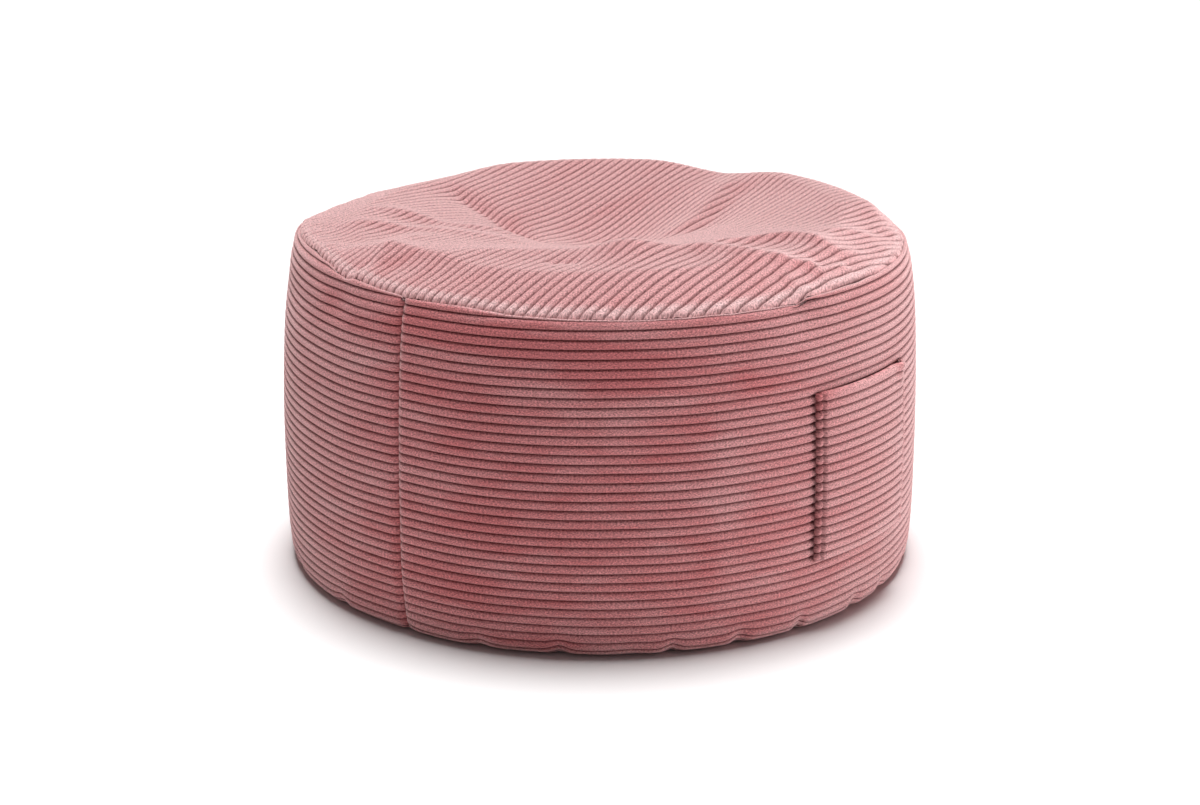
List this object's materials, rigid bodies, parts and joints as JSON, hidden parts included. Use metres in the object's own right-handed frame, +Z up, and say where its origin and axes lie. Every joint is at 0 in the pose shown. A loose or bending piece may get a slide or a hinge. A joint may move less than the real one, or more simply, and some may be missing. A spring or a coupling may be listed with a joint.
{
  "type": "bean bag pouf",
  "caption": "Low round filled pouf in wide-wale corduroy with a slack dished top, drawn-in sides and an open patch pocket on its side.",
  "frame": {"origin": "middle of the base panel's flat underside, on the drum's upright axis, where it meets the floor", "axes": "+Z up; the middle of the patch pocket faces -Y; +X is to the right of someone who looks at the pocket"},
  "size_m": [0.6996, 0.7169, 0.3925],
  "materials": {
    "corduroy": "soft wide-wale corduroy, dusty rose, matt pile that lightens where it is brushed or seen edge on",
    "base_cloth": "plain woven cloth, dusty rose, matt"
  },
  "bodies": {
    "root": {"side_band": "corduroy", "top_panel": "corduroy", "pocket": "corduroy", "base_panel": "base_cloth"}
  },
  "joints": []
}
